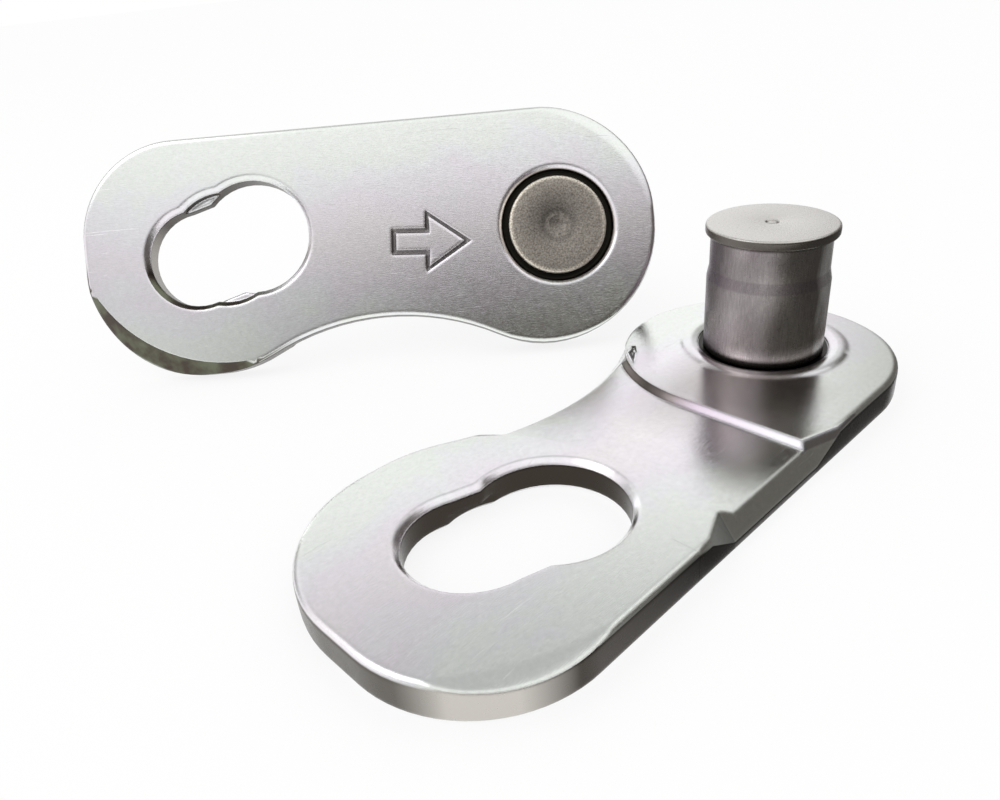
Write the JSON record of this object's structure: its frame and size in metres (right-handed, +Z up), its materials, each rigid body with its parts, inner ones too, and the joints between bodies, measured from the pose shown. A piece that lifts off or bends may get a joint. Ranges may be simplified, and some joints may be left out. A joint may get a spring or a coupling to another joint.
{
  "type": "chain connecting link",
  "caption": "Connecting link of a roller chain, its identical halves laid apart: each a waisted steel plate with a keyhole slot and a riveted, grooved pin.",
  "frame": {"origin": "on the front half's pin axis, at the inner face of its plate", "axes": "+Z up along the front pin, away from its plate; +X towards the front plate's slot; +Y towards its straight long edge"},
  "size_m": [0.0201, 0.0238, 0.0077],
  "materials": {
    "plated_steel": "bright nickel-plated steel with a fine grain, pearly and lightly scratched",
    "pin_steel": "turned and hardened steel, darker grey with fine turning marks"
  },
  "bodies": {
    "root": {"front_plate": "plated_steel", "front_pin": "pin_steel", "rear_plate": "plated_steel", "rear_pin": "pin_steel"}
  },
  "joints": []
}
